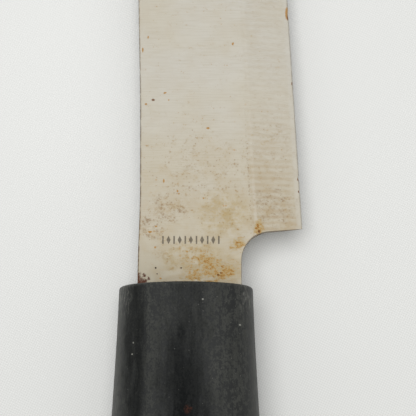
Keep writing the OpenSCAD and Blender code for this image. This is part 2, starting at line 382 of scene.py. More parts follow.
def build_blade():
    x, y, neck_rows, neck_column = blade_plan()
    rows, columns = x.shape
    valid = ~np.isnan(x)
    index = np.full(x.shape, -1)
    index[valid] = np.arange(valid.sum())
    plan = np.stack([x[valid], y[valid]], 1)
    under = len(plan)
    top = np.column_stack([plan, steel_height(plan[:, 0], plan[:, 1])])
    points = [top, np.column_stack([plan, np.zeros(under)])]
    faces = []
    for r in range(rows - 1):
        for c in range(columns - 1):
            quad = [int(index[p]) for p in ((r, c), (r, c + 1), (r + 1, c + 1), (r + 1, c))]
            if min(quad) >= 0:
                faces += [quad, [i + under for i in reversed(quad)]]
    # Rings of points round the outline, from the top face over two chamfers to the bottom face
    path = outline_of(rows, columns, neck_rows, neck_column)
    ids = np.array([index[p] for p in path])
    loop = plan[ids]
    normals = outward_normals(loop)
    for i, (r, c) in enumerate(path):
        if r == 0:
            normals[i] = (-1 if c == 0 else 1 if c == neck_column else 0, 0)
    # The chamfers shrink with the steel where it thins out towards the edge
    thick = top[ids, 2]
    chamfer = np.minimum(CHAMFER, 0.3 * thick)
    support = np.minimum(CHAMFER + SUPPORT, 0.42 * thick)
    outside = loop + normals * chamfer[:, None]
    rings = [ids]
    for level in (thick - chamfer, thick - support, support, chamfer):
        first = sum(len(p) for p in points)
        points.append(np.column_stack([outside, level]))
        rings.append(np.arange(first, first + len(path)))
    rings.append(ids + under)
    # Walls, left open where the tang comes out of the rear of the neck
    is_tang = [r == 0 and abs(abs(x[r, c]) - TANG_HALF) < 1e-6 for r, c in path]
    tang_first, tang_last = [i for i, hit in enumerate(is_tang) if hit]
    for level, (high, low) in enumerate(zip(rings, rings[1:])):
        for i in range(len(path)):
            j = (i + 1) % len(path)
            if level in (0, 4) or not tang_first <= i < tang_last:
                faces.append([int(low[i]), int(low[j]), int(high[j]), int(high[i])])
    add_tang(points, faces, rings, tang_first, tang_last)
    return make_object("knife_blade", np.vstack(points), faces)


def add_tang(points, faces, rings, tang_first, tang_last):
    """The stick tang with its two pin holes, joined to the rear wall of the neck."""
    holes = [hole_outline(y) for y in PIN_YS]
    outline = tang_outline()
    n = len(outline)
    root = list(range(tang_last, tang_first - 1, -1))
    root_points = [tuple(points[2][i, :2]) for i in root]
    loops = [outline + root_points] + [hole[::-1] for hole in holes]
    triangles = tessellate_polygon([[Vector((*p, 0)) for p in loop] for loop in loops])
    # Upper and lower face: the rim's points and each hole's points
    rims, walls = [], []
    for z, ring in ((SHEET - CHAMFER, rings[1]), (CHAMFER, rings[4])):
        first = sum(len(p) for p in points)
        points.append(np.array([(*p, z) for p in outline + holes[0] + holes[1]]))
        rim = list(range(first, first + n)) + [int(ring[i]) for i in root]
        starts = [first + n, first + n + HOLE_SIDES]
        wall = [list(range(start, start + HOLE_SIDES)) for start in starts]
        corners = rim + wall[0][::-1] + wall[1][::-1]
        faces += [[corners[k] for k in triangle] for triangle in triangles]
        rims.append(rim)
        walls.append(wall)
    # Side walls; the first and the last also take in the rear wall's middle points
    high, low = rims
    for i in range(n - 1):
        faces.append([low[i], low[i + 1], high[i + 1], high[i]])
    middle_last = [int(rings[3][tang_last]), int(rings[2][tang_last])]
    faces.append([low[n - 1], low[n], *middle_last, high[n], high[n - 1]])
    middle_first = [int(rings[2][tang_first]), int(rings[3][tang_first])]
    faces.append([low[0], high[0], high[-1], *middle_first, low[-1]])
    for upper, lower in zip(*walls):
        for a, b in zip(range(HOLE_SIDES), [*range(1, HOLE_SIDES), 0]):
            faces.append([lower[b], lower[a], upper[a], upper[b]])


# -------- handle and butt cap

# Points round each ring; a multiple of 16, so that the octagonal plug has a point on each corner
ROUND = 192
ANGLES = np.arange(ROUND) * 2 * pi / ROUND
# Shallow dents of use: (angle round the handle in degrees, distance behind the front face, radius, depth)
DENTS = [
    (97, 16.5, 1.3, 0.035), (62, 9.0, 0.9, 0.03), (128, 27, 1.8, 0.05), (80, 44, 1.5, 0.04),
    (20, 36, 1.6, 0.05), (160, 63, 2.2, 0.06), (250, 30, 1.7, 0.05), (300, 82, 2.4, 0.06),
    (75, 97, 2.0, 0.06), (200, 108, 2.1, 0.05)
]
# Depth of the faint waves that moulding left round the handle
MOULD_WAVE = 0.02
# Distance of the ring that keeps the rim crisp, in from the rim
RIM_SUPPORT = 0.15
# Where the rings of the handle are spaced wider
WIDE_RINGS_S = 34.0
# Power of the curve that rounds the corners of the slot
SLOT_POWER = 0.12


def flare_share(s):
    """Share of the swell from the front face to the belly."""
    return smooth_step((s + FLARE_LEAD) / (BELLY_S + FLARE_LEAD))


def half_height(s):
    """Half the height of the handle's section at a distance s behind its front face."""
    belly_h = 2 * BELLY_HALF
    lead = flare_share(0.0)
    base = (FRONT_H - lead * belly_h) / (1 - lead)
    flare = base + (belly_h - base) * flare_share(s)
    taper = belly_h + (BUTT_H - belly_h) * smooth_step((s - BELLY_S) / (HANDLE_LEN - BUTT_R - BELLY_S))
    side = np.where(s < BELLY_S, flare, taper) / 2
    into_butt = np.clip((s - HANDLE_LEN + BUTT_R) / BUTT_R, 0, 1)
    return side - BUTT_R * (1 - np.sqrt(1 - into_butt ** 2))


def oval_ring(half, s):
    """A ring of the handle's oval section, at a distance s behind the front face."""
    return np.column_stack([
        half * np.cos(ANGLES), np.full(ROUND, -s, float), AXIS_Z + SECTION_RATIO * half * np.sin(ANGLES)
    ])


def worn_ring(half, s):
    """A ring of the handle's outside, with the faint waves of moulding and its dents."""
    sink = MOULD_WAVE * (1 + np.sin(3 * ANGLES + s / 17)) * smooth_step(s / 8) / 2
    for angle, place, radius, depth in DENTS:
        away = np.abs((ANGLES - radians(angle) + pi) % (2 * pi) - pi) * half
        sink = sink + depth * np.exp(-((away ** 2 + (s - place) ** 2) / radius ** 2))
    return oval_ring(half - sink, s)


def octagon_ring(half, s):
    """A ring of eight straight sides whose corners lie on the oval."""
    from_corner = (ANGLES - pi / 8) % (pi / 4) - pi / 8
    return oval_ring(half * cos(pi / 8) / np.cos(from_corner), s)


def slot_ring(s):
    """A ring round the slot for the tang, with corners slightly rounded."""
    half_w, half_t = SLOT_HIGH.x, (SLOT_HIGH.z - SLOT_LOW.z) / 2
    across, up = np.cos(ANGLES), np.sin(ANGLES)
    return np.column_stack([
        half_w * np.sign(across) * np.abs(across) ** (SLOT_POWER * 4), np.full(ROUND, -s, float),
        AXIS_Z + half_t * np.sign(up) * np.abs(up) ** SLOT_POWER
    ])


def between(ring_a, ring_b, steps):
    """Rings that lead evenly from one to the other, both left out."""
    return [ring_a + (ring_b - ring_a) * k / steps for k in range(1, steps)]


def loft(name, rings, closed):
    """A solid through the rings. If it isn't closed on itself, flat faces shut its two ends."""
    count = len(rings)
    faces = []
    for k in range(count if closed else count - 1):
        a, b = k * ROUND, (k + 1) % count * ROUND
        for i in range(ROUND):
            j = (i + 1) % ROUND
            faces.append([a + i, a + j, b + j, b + i])
    if not closed:
        faces.append(list(range(ROUND)))
        faces.append([(count - 1) * ROUND + i for i in reversed(range(ROUND))])
    return make_object(name, np.vstack(rings), faces)


def build_handle():
    rim_half = half_height(RIM_R)
    front_face = oval_ring(rim_half - RIM_R - RIM_SUPPORT, 0)
    rings = [front_face]
    for angle in np.linspace(0, pi / 2, 11):
        rings.append(oval_ring(rim_half - RIM_R * (1 - sin(angle)), RIM_R * (1 - cos(angle))))
    # The last two rings lie just in front of the groove at the parting line
    places = [*np.arange(RIM_R + 0.2, WIDE_RINGS_S, 0.5), *np.arange(WIDE_RINGS_S, SEAT_S - 0.5, 1.0)]
    places += [SEAT_S - 2 * SEAM, SEAT_S - SEAM]
    rings += [worn_ring(half_height(s), s) for s in places]
    rings += [oval_ring(half_height(SEAT_S) - SEAM, SEAT_S)]
    # Inside: rear face, wall of the cavity, back of the front wall, and the slot
    cavity_end = oval_ring(half_height(SEAT_S) - WALL, SEAT_S)
    rings += between(rings[-1], cavity_end, 4) + [cavity_end]
    rings += [oval_ring(half_height(s) - WALL, s) for s in np.arange(SEAT_S - 2, FRONT_WALL + 1, -3.0)]
    wall_back = oval_ring(half_height(FRONT_WALL) - WALL, FRONT_WALL)
    slot_back, slot_front = slot_ring(FRONT_WALL), slot_ring(0)
    rings += [wall_back] + between(wall_back, slot_back, 8) + [slot_back]
    rings += between(slot_back, slot_front, 3) + [slot_front]
    rings += between(slot_front, front_face, 10)
    return loft("handle_shell", rings, closed=True)


def build_cap():
    seat_half = half_height(SEAT_S)
    # Closed inner end of the hollow in the plug, then out over the plug to the seat
    plug_s = SEAT_S - CAP_PLUG
    plug_half = seat_half - WALL - PLUG_GAP
    hollow_half = half_height(plug_s) - WALL - PLUG_WALL
    hollow_s = SEAT_S - 1
    rings = [octagon_ring(hollow_half * share, hollow_s) for share in (0.25, 0.5, 0.75, 1)]
    rings += [octagon_ring(hollow_half, s) for s in np.linspace(hollow_s, plug_s, 6)[1:]]
    rings += [octagon_ring(plug_half, s) for s in np.linspace(plug_s, SEAT_S, 6)]
    rings += [oval_ring(seat_half - SEAM, SEAT_S)]
    # The rounded rear end, and rings that shut its flat middle
    start_angle = asin(1 - (HANDLE_LEN - SEAT_S - SEAM) / BUTT_R)
    for angle in np.linspace(start_angle, pi / 2, 16):
        half = BUTT_H / 2 - BUTT_R * (1 - cos(angle))
        rings.append(oval_ring(half, HANDLE_LEN - BUTT_R * (1 - sin(angle))))
    flat_half = BUTT_H / 2 - BUTT_R
    rings += [oval_ring(flat_half * share, HANDLE_LEN) for share in (0.97, 0.75, 0.5, 0.25)]
    return loft("handle_butt_cap", rings, closed=False)


# -------- materials

class Value:
    """A number that a material works out at each point, used in sums and products like a plain number."""

    def __init__(self, sheet, socket):
        self.sheet = sheet
        self.socket = socket

    def __add__(self, other):
        return self.sheet.math("ADD", self, other)

    def __sub__(self, other):
        return self.sheet.math("SUBTRACT", self, other)

    def __rsub__(self, other):
        return self.sheet.math("SUBTRACT", other, self)

    def __mul__(self, other):
        return self.sheet.math("MULTIPLY", self, other)

    __radd__ = __add__

    def step(self, low, high):
        """0 at low, 1 at high, smooth in between."""
        node = self.sheet.node("ShaderNodeMapRange", self, low, high, 0.0, 1.0)
        node.interpolation_type = "SMOOTHSTEP"
        return Value(self.sheet, node.outputs[0])

    def swing(self):
        """How far a cloudy noise lies from its middle value."""
        return self - 0.5

    def max(self, other):
        return self.sheet.math("MAXIMUM", self, other)

    def min(self, other):
        return self.sheet.math("MINIMUM", self, other)

    def size(self):
        """The value without its sign."""
        return self.sheet.math("ABSOLUTE", self)


class Sheet:
    """The node tree of one material, with places in millimetres."""

    def __init__(self, name):
        self.material = bpy.data.materials.new(name)
        self.material.use_nodes = True
        self.tree = self.material.node_tree
        self.tree.nodes.clear()
        self.shader = self.node("ShaderNodeBsdfPrincipled")
        self.node("ShaderNodeOutputMaterial", self.shader.outputs[0])
        place = self.node("ShaderNodeTexCoord").outputs["Object"]
        self.place = self.vector("SCALE", place, Scale=1 / MM)
        split = self.node("ShaderNodeSeparateXYZ", self.place)
        self.x, self.y, self.z = (Value(self, out) for out in split.outputs)

    def put(self, socket, value):
        """Feeds a number, a colour or a worked-out value into a node's input."""
        if isinstance(value, Value):
            value = value.socket
        if isinstance(value, bpy.types.NodeSocket):
            self.tree.links.new(value, socket)
        elif socket.type == "RGBA":
            socket.default_value = (*value, 1)
        else:
            socket.default_value = value

    def node(self, kind, *inputs, operation=None, **named):
        """A new node, its inputs fed in order or by name."""
        made = self.tree.nodes.new(kind)
        if operation:
            made.operation = operation
        for socket, value in zip(made.inputs, inputs):
            self.put(socket, value)
        for name, value in named.items():
            self.put(made.inputs[name], value)
        return made

    def math(self, operation, *values):
        return Value(self, self.node("ShaderNodeMath", *values, operation=operation).outputs[0])

    def vector(self, operation, *values, **named):
        made = self.node("ShaderNodeVectorMath", *values, operation=operation, **named)
        return made.outputs["Value" if operation == "LENGTH" else "Vector"]

    def at(self, stretch=(1, 1, 1), seed=0):
        """The place, each direction multiplied, and moved on by a seed."""
        return self.vector("MULTIPLY_ADD", self.place, stretch, (17.3 * seed, 9.1 * seed, 5.7 * seed))

    def noise(self, size, stretch=(1, 1, 1), seed=0, detail=3.0, roughness=0.5, warp=0.0):
        """Cloudy noise around 0.5, its features about size long."""
        made = self.node("ShaderNodeTexNoise", Vector=self.at(stretch, seed), Scale=1 / size, Detail=detail,
                         Roughness=roughness, Distortion=warp)
        return Value(self, made.outputs["Fac"])

    def cells(self, size, stretch=(1, 1, 1), seed=0):
        """Distance to the nearest of points scattered about size apart, and a number for each point."""
        made = self.node("ShaderNodeTexVoronoi", Vector=self.at(stretch, seed), Scale=1 / size)
        number = self.node("ShaderNodeSeparateColor", made.outputs["Color"])
        return Value(self, made.outputs["Distance"]) * size, Value(self, number.outputs[0])

    def mix(self, share, low, high):
        """A colour that goes from low at share 0 to high at share 1."""
        made = self.node("ShaderNodeMix")
        made.data_type = "RGBA"
        self.put(made.inputs[0], share)
        self.put(made.inputs[6], low)
        self.put(made.inputs[7], high)
        return made.outputs[2]

    def layers(self, colour, coats):
        """A colour with coats laid over it in turn, each given as (share, colour)."""
        for share, coat in coats:
            colour = self.mix(share, colour, coat)
        return colour

    def spots(self, places, edge=0.45, warp=(0.0, 0.0)):
        """1 in the oval spots (x, y, half width, half length) up to a share of their size, 0 outside."""
        x, y = self.x + warp[0], self.y + warp[1]
        total = None
        for px, py, half_x, half_y in places:
            across = (x - px) * (1 / half_x)
            along = (y - py) * (1 / half_y)
            spot = (across * across + along * along).step(1.0, edge * edge)
            total = spot if total is None else total.max(spot)
        return total

    def upright(self):
        """1 on faces that stand upright, 0 on faces that lie flat."""
        geometry = self.node("ShaderNodeNewGeometry")
        facing = self.node("ShaderNodeSeparateXYZ", geometry.outputs["True Normal"])
        return Value(self, facing.outputs[2]).size().step(0.85, 0.6)

    def finish(self, colour, roughness, relief, depth, **others):
        """The material; its surface relief is so many millimetres deep for a height of 1."""
        bump = self.node("ShaderNodeBump", Height=relief, Distance=depth * MM, Strength=1.0)
        inputs = {"Base Color": colour, "Roughness": roughness, "Normal": bump.outputs[0], **others}
        for name, value in inputs.items():
            self.put(self.shader.inputs[name.replace("_", " ")], value)
        return self.material


# Rust and stains on the ground face: (x, y, half width, half length)
RUST_CLOUDS = [
    (6.4, 3.6, 6.2, 3.6), (2.8, 3.4, 5.4, 4.4), (5.4, 0.9, 4.6, 1.3), (10.6, 8.8, 3.0, 2.0),
    (14.6, 12.2, 1.8, 2.6), (1.8, 6.2, 6.8, 3.2)
]
RUST_HEARTS = [
    (4.9, 3.6, 2.0, 1.9), (8.6, 3.3, 1.9, 1.8), (6.6, 2.3, 1.6, 1.2), (5.4, 0.8, 1.3, 0.8),
    (14.5, 12.2, 1.3, 2.1), (10.4, 8.8, 1.6, 1.1), (2.0, 2.0, 1.6, 1.1), (3.7, 5.6, 3.0, 1.1)
]
CORNER_RUST = [(-9.4, 1.5, 0.8, 1.3), (-8.7, 1.1, 1.0, 0.7), (-7.6, 1.6, 0.4, 0.5), (-8.4, 2.3, 0.3, 0.3)]
# Places only tinted by the rust
GOLDEN_PLACES = [(1.8, 6.0, 8.0, 4.2), (7.8, 15.0, 7.0, 6.0), (6.4, 3.6, 7.0, 4.4)]
# Fields of fine specks, and places of a fainter brown haze
SPECKLED_FIELDS = [(-3.4, 16.2, 5.6, 4.6), (-6.8, 12.6, 3.6, 4.6), (18.0, 16.5, 6.5, 7.0)]
HAZE = [(3.0, 25.0, 13.0, 10.0), (17.0, 28.0, 8.0, 12.0), (7.8, 15.2, 8.0, 7.0), (0.5, 6.5, 9.0, 5.0)]
# Separate spots of orange rust, and dark crusts
RUST_SPOTS = [
    (21.1, 58.4, 0.5, 1.7), (-8.1, 52.5, 0.2, 0.4), (-9.2, 49.7, 0.2, 0.6), (9.6, 51.0, 0.24, 0.4),
    (-8.4, 38.0, 0.3, 0.26), (-4.5, 40.4, 0.36, 0.24), (-3.7, 38.9, 0.2, 0.2), (4.4, 32.9, 0.42, 0.28),
    (-4.6, 21.8, 0.2, 0.5), (3.5, 18.2, 0.24, 0.2), (8.0, 16.6, 0.14, 0.2), (-1.5, 19.1, 0.2, 0.22),
    (-1.8, 19.6, 0.2, 0.3), (-7.3, 11.2, 0.5, 0.22), (-6.1, 12.4, 0.3, 0.18), (0.2, 7.2, 0.2, 0.16),
    (-5.1, 1.8, 0.28, 0.16)
]
DARK_RUST = [
    (21.3, 57.6, 0.3, 0.8), (14.7, 11.4, 0.3, 0.4), (-6.9, 38.9, 0.4, 0.26), (22.9, 22.6, 0.2, 0.4),
    (23.0, 19.9, 0.18, 0.3), (6.4, 2.5, 0.34, 0.22), (7.0, 2.9, 0.2, 0.2), (5.4, 0.8, 0.36, 0.22),
    (21.9, 43.0, 0.16, 0.4)
]
PITS = [(-6.1, 3.9, 0.2, 0.22), (-1.0, 3.9, 0.19, 0.16), (-5.8, 2.7, 0.13, 0.13)]
# Distance between the coarse grinding bands on the bevel
BAND_PITCH = 1.32
# The etched mark: its middle, its length, the height and number of its signs, and half a lozenge's width
MARK_AT = (0.95, 9.6)
MARK_LEN = 12.4
MARK_H = 1.7
MARK_COUNT = 11
LOZENGE_HALF = 0.42
# On top of the handle: greasy places, a reddish stain and pale specks in the same form
GREASY_PLACES = [(-0.4, -25.5, 3.0, 9.5), (-9.7, -15.0, 3.2, 28.0), (-9.0, -70.0, 3.4, 34.0)]
FAINT_GREASE = [(-0.6, -11.0, 1.3, 3.4), (-1.4, -24.0, 6.0, 19.0), (4.0, -36.0, 7.0, 20.0)]
HANDLE_STAINS = [(0.5, -24.4, 0.8, 1.1), (1.1, -24.2, 0.5, 0.4)]
HANDLE_SPECKS = [
    (3.4, -3.5, 0.24, 0.2), (10.6, -8.1, 0.26, 0.2), (-10.2, -13.8, 0.2, 0.18),
    (-10.0, -11.6, 0.14, 0.2)
]
# Where the painted highlight on the handle's spine side begins
SHEEN_SIDE_X = -11.6
# Colours of fine grinding lines, and of the brown oxide with painted shade on corners and sides
GRIND_LINE = (0.37, 0.33, 0.25)
CORNER_OXIDE_AND_SHADE = (0.14, 0.098, 0.062)


def edge_field(sheet):
    """Distance from the cutting edge at each point."""
    straight = (HEEL_X - sheet.x) * cos(EDGE_LEAN) - (sheet.y - NECK_LEN) * sin(EDGE_LEAN)
    away = sheet.vector("SUBTRACT", sheet.place, (EDGE_C.x, EDGE_C.y, 0))
    flat = sheet.vector("MULTIPLY", away, (1, 1, 0))
    curved = EDGE_R - Value(sheet, sheet.vector("LENGTH", flat))
    past = (sheet.y - BEND.y).step(-0.5, 0.5)
    return straight + past * (curved - straight)


def etched_mark(sheet):
    """A row of small lozenges and short bars, 1 inside them."""
    pitch = MARK_LEN / MARK_COUNT
    across = (sheet.x - (MARK_AT[0] - MARK_LEN / 2)) * (1 / pitch)
    number = sheet.math("FLOOR", across)
    inside_cell = ((across - number) - 0.5).size() * pitch
    along = (sheet.y - MARK_AT[1]).size()
    inside_row = (number - (MARK_COUNT - 1) / 2).size().step(MARK_COUNT / 2, MARK_COUNT / 2 - 0.01)
    is_bar = sheet.math("MODULO", number + MARK_COUNT, 2.0)
    half = MARK_H / 2
    lozenge = (inside_cell * (half / LOZENGE_HALF) + along).step(half + 0.1, half - 0.1)
    bar = inside_cell.step(0.2, 0.11) * along.step(half, half - 0.08)
    return (lozenge + is_bar * (bar - lozenge)) * inside_row


class BladeFields:
    """Places on the blade, its grinding lines, and the clouds of noise that break up its stains."""

    def __init__(self, sheet):
        x, y = sheet.x, sheet.y
        self.sheet = sheet
        self.edge = edge_field(sheet)
        hollow = (y.step(*HOLLOW_START) - y.step(*HOLLOW_END)) * HOLLOW_DEPTH
        self.spine = (x + SPINE_OFF + y * tan(SPINE_LEAN) - hollow).max(0.0)
        self.bevel = self.edge.step(BEVEL_W + 0.5, BEVEL_W - 0.3)
        self.near_heel = y.step(42.0, 8.0)
        self.near_neck = y.step(12.0, 1.0)
        self.on_face = sheet.z.step(0.02, 0.06)
        # Grinding lines run across the blade: fine ones everywhere, coarse bands on the bevel
        self.lines = sheet.noise(0.22, (0.04, 1, 1), seed=1, detail=4)
        self.line_share = self.lines.step(0.4, 0.75) * 0.34
        drift = sheet.noise(12.0, (0.4, 1, 1), seed=8, detail=2)
        self.uneven = sheet.noise(1.1, (0.22, 1, 1), seed=2, detail=4, roughness=0.6)
        wave = sheet.math("SINE", y * (2 * pi / BAND_PITCH) + drift * 5 - x * 0.03)
        self.bands = (wave * 0.17 + self.uneven).step(0.35, 0.78)
        # Clouds of several sizes
        self.cloud = sheet.noise(14.0, seed=3, detail=4)
        self.patches = sheet.noise(3.2, (0.8, 1, 1), seed=4, detail=5, roughness=0.6, warp=0.6)
        self.clumps = sheet.noise(1.15, (0.85, 1, 1), seed=6, detail=4, roughness=0.6)
        self.grain = sheet.noise(0.42, (0.8, 1, 1), seed=5, detail=3, roughness=0.7)
        self.warp = (self.clumps.swing() * 2.4, self.patches.swing() * 2.6)
        self.rough_edge = (self.grain.swing() * 0.4, self.clumps.swing() * 0.4)

    def stains(self, places, edge=0.0):
        """Spots with soft outlines that wander by a millimetre or so."""
        return self.sheet.spots(places, edge, self.warp)

    def crusts(self, places):
        """Small spots with firm, slightly rough outlines."""
        return self.sheet.spots(places, 0.6, self.rough_edge)


def clean_steel(blade):
    """Warm grey steel, yellower and duller towards the heel and the neck, with its grinding lines."""
    sheet = blade.sheet
    steel = sheet.mix(blade.cloud.step(0.35, 0.7), (0.475, 0.455, 0.405), (0.465, 0.435, 0.365))
    band_share = blade.bevel * blade.bands * (0.10 + blade.near_heel * 0.30) * blade.edge.step(0.5, 2.5)
    edge_strip = blade.edge.step(HONE_W + 0.3, HONE_W - 0.4)
    bevel_line = (blade.edge - (BEVEL_W - 0.6)).size().step(0.5, 0.1)
    # A row of brown dots beside the bevel, and dark brown lines along the corners of the spine and of the
    # edge: oxide with painted shade
    beside_bevel = (blade.edge - BEVEL_W - 0.3).size().step(0.28, 0.08)
    in_row = sheet.y.step(9.0, 16.0) * sheet.y.step(44.0, 24.0)
    stitches = beside_bevel * blade.grain.step(0.5, 0.6) * in_row
    spine_oxide_and_shade = blade.spine.step(0.36, 0.16) * (0.5 + blade.near_heel * 0.4)
    corners = spine_oxide_and_shade.max(blade.edge.step(0.3, 0.1) * 0.25)
    return sheet.layers(steel, [
        (blade.near_heel * 0.7, (0.425, 0.378, 0.288)),
        (blade.near_neck * sheet.x.step(2.0, -7.0) * 0.75, (0.335, 0.305, 0.235)),
        (blade.line_share, GRIND_LINE),
        (band_share, (0.33, 0.235, 0.13)),
        (edge_strip * 0.35, (0.52, 0.505, 0.46)),
        (bevel_line * (0.1 + blade.near_heel * 0.2), (0.56, 0.53, 0.46)),
        (stitches * 0.5, (0.22, 0.16, 0.10)),
        (corners * blade.clumps.step(0.3, 0.6) * blade.on_face, CORNER_OXIDE_AND_SHADE)
    ])


def brown_film(blade, steel):
    """Steel under a brown film and fine brown specks, both thicker in the speckled fields; and the film."""
    sheet = blade.sheet
    fields = blade.stains(SPECKLED_FIELDS).max(blade.stains(HAZE) * 0.5)
    film = blade.patches.step(0.40, 0.68) * (0.05 + blade.near_heel * 0.12)
    speckle = fields * 0.5 + blade.clumps.swing() * 1.6 + blade.grain.swing() * 1.7
    film = film + speckle.step(0.15, 0.95) * 0.42
    film_colour = sheet.mix(blade.patches.step(0.42, 0.6), (0.31, 0.225, 0.13), (0.40, 0.275, 0.115))
    dots, chance = sheet.cells(0.62, seed=9)
    share = fields * 0.85 + blade.clumps.swing() * 1.4 + blade.near_heel * 0.15 - blade.bevel * 0.35 - 0.2
    freckles = dots.step(0.2, 0.06) * (share - chance).step(-0.1, 0.15)
    flecks = fields * 0.46 - blade.bevel * 0.1 + blade.grain.swing() * 3.0 + blade.clumps.swing() * 0.8
    specks = (freckles * 0.52).max(flecks.step(0.55, 0.9) * 0.48)
    return sheet.layers(steel, [(film, film_colour), (specks, (0.22, 0.14, 0.075))]), film


def blade_material():
    sheet = Sheet("satin_stained_steel")
    blade = BladeFields(sheet)
    steel, film = brown_film(blade, clean_steel(blade))

    # Patches of rust: pale haloes, orange grains and dark cores
    clouds = blade.stains(RUST_CLOUDS)
    growth = clouds * 0.42 + blade.stains(RUST_HEARTS) * 0.4 + blade.clumps.swing() * 1.2
    golden = blade.stains(GOLDEN_PLACES) * (blade.clumps + blade.grain * 0.5).step(0.45, 0.95)
    halo = (growth + blade.grain.swing() * 1.2).step(0.05, 0.75) * clouds.step(0.0, 0.15)
    halo = halo.max(golden * 0.85)
    grains = (growth + blade.grain.swing() * 3.0).step(0.45, 1.05)
    core = (growth + blade.grain.swing() * 3.6).step(1.0, 1.35)
    # Single marks: rust spots, stray specks, the rusty corner, dark crusts, pits and the etched mark
    spots = blade.crusts(RUST_SPOTS)
    away, chance = sheet.cells(2.3, seed=7)
    stray = away.step(0.32, 0.1) * chance.step(0.8, 0.86) * (0.15 + blade.near_heel * 0.6)
    corner = blade.stains(CORNER_RUST, edge=0.2) * blade.grain.step(0.3, 0.5)
    dark = blade.crusts(DARK_RUST) * blade.grain.step(0.15, 0.4)
    pits = sheet.spots(PITS, edge=0.6)
    mark = etched_mark(sheet) * blade.grain.step(0.15, 0.45)
    face = sheet.layers(steel, [
        (halo * 0.58, (0.50, 0.365, 0.145)),
        ((spots * 0.8).max(stray).max(grains * 0.7), (0.42, 0.205, 0.03)),
        (core * 0.7, (0.21, 0.075, 0.014)),
        (corner * 0.9, (0.085, 0.018, 0.009)),
        (dark * 0.85, (0.15, 0.052, 0.014)),
        (pits, (0.02, 0.013, 0.01)),
        (mark * 0.85, (0.10, 0.085, 0.065))
    ])

    # The marks lie on the ground face, and the back is plainer; upright walls and chamfers get painted
    # shade, tinged brown like oxide
    back = sheet.mix(film * 1.4 + stray * 0.6, (0.47, 0.445, 0.39), (0.36, 0.26, 0.14))
    back = sheet.mix(blade.line_share, back, GRIND_LINE)
    # Painted shade: walls and chamfers are darkened and made less metallic, least at the cutting edge
    side = sheet.upright() * (0.35 + blade.edge.step(0.2, 0.6) * 0.4)
    colour = sheet.mix(side, sheet.mix(blade.on_face, back, face), CORNER_OXIDE_AND_SHADE)

    dull = halo.max(spots).max(stray).max(grains).max(corner).max(dark).max(pits) * blade.on_face
    ground = (blade.uneven * 0.6 + blade.bands * 0.5) * blade.bevel
    relief = ground + blade.lines * 0.35 + blade.grain * 0.15
    relief = relief + (dull * 0.8 - pits * 3.0 - mark * 1.2) * blade.on_face
    roughness = 0.38 + dull * 0.35 + film * 0.35 + blade.patches * 0.1
    metallic = (0.95 - dull * 0.9 - film * 0.5 - side * 0.25).max(0.0)
    level = 0.5 - dull * 0.4
    return sheet.finish(colour, roughness, relief, 0.012, Metallic=metallic, Specular_IOR_Level=level)


def handle_material():
    sheet = Sheet("black_moulded_resin")
    upper = sheet.z.step(AXIS_Z - 1, AXIS_Z + 3)
    streaks = sheet.noise(1.6, (1, 0.12, 0.6), seed=11, detail=5, roughness=0.65)
    blotch = sheet.noise(2.6, (1, 0.5, 1), seed=12, detail=5, roughness=0.62, warp=0.6)
    mottle = sheet.noise(0.85, (1, 0.7, 1), seed=16, detail=4, roughness=0.65)
    fine = sheet.noise(0.32, (1, 0.8, 1), seed=13, detail=3, roughness=0.7)
    warp = (blotch.swing() * 3.0, streaks.swing() * 8.0)
    # Grease darkens some places and thin streaks that run along the handle
    smear = streaks * 0.4 + blotch * 0.5 + mottle * 0.35
    places = sheet.spots(GREASY_PLACES, edge=0.0, warp=warp)
    places = places.max(sheet.spots(FAINT_GREASE, edge=0.0, warp=warp) * 0.6) * upper
    handled = (sheet.x * 0.13).size().step(1.0, 0.1) * upper
    grease = (places * 0.72 + handled * 0.6 + (smear - 0.625) * 3.2).step(-0.1, 1.25)
    # Pale dust gathers in blotches, with a few larger specks
    dust = (blotch * 1.3 + mottle * 2.0 + fine * 1.4).step(2.15, 2.65)
    away, chance = sheet.cells(0.9, seed=14)
    specks = away.step(0.13, 0.04) * chance.step(0.7, 0.95)
    specks = (specks * 0.35).max(sheet.spots(HANDLE_SPECKS) * upper)
    stain = sheet.spots(HANDLE_STAINS, edge=0.1) * upper * fine.step(0.35, 0.6)
    # The rim and the spine's side get a mottled painted highlight; fine scuffs lie on the front corners and
    # the sides
    rim = sheet.y.step(-0.8, -0.1) * mottle.step(0.3, 0.6)
    spine_side_sheen = (SHEEN_SIDE_X - sheet.x + sheet.y.min(0.0) * 0.025).step(0.0, 1.0) * mottle.step(0.3, 0.6)
    scuffs = sheet.noise(0.3, (1, 0.16, 1), seed=17, detail=3, roughness=0.7).step(0.48, 0.6)
    front_corners = sheet.y.step(-9.0, -1.0) * sheet.x.size().step(9.5, 12.5)
    sides = (sheet.x.size() + sheet.y * 0.025).step(12.2, 13.4)
    scuffs = scuffs * front_corners.max(sides * 0.3) * mottle.step(0.35, 0.6)
    colour = sheet.mix(dust * (1.0 - grease * 0.6), (0.0042, 0.0052, 0.0050), (0.028, 0.0295, 0.0245))
    colour = sheet.layers(colour, [
        (grease * 0.8, (0.0022, 0.0028, 0.003)),
        # painted highlight on the rim and on the spine's side
        (rim.max(spine_side_sheen * 1.3) * 0.55, (0.05, 0.051, 0.045)),
        (scuffs * 0.8, (0.17, 0.17, 0.15)),
        (stain * 0.5, (0.07, 0.022, 0.012)),
        (specks * 0.7, (0.33, 0.33, 0.29))
    ])
    scratch = sheet.noise(0.22, (0.5, 0.02, 0.5), seed=15, detail=2).step(0.6, 0.8)
    relief = fine * 0.6 + mottle * 0.5 + blotch * 0.6 - scratch * 0.4 + specks * 0.8
    roughness = 0.46 + dust * 0.14 - grease * 0.08 + scratch * 0.12
    level = (0.40 - grease * 0.34 + dust * 0.08).max(0.06)
    return sheet.finish(colour, roughness, relief, 0.014, Specular_IOR_Level=level)


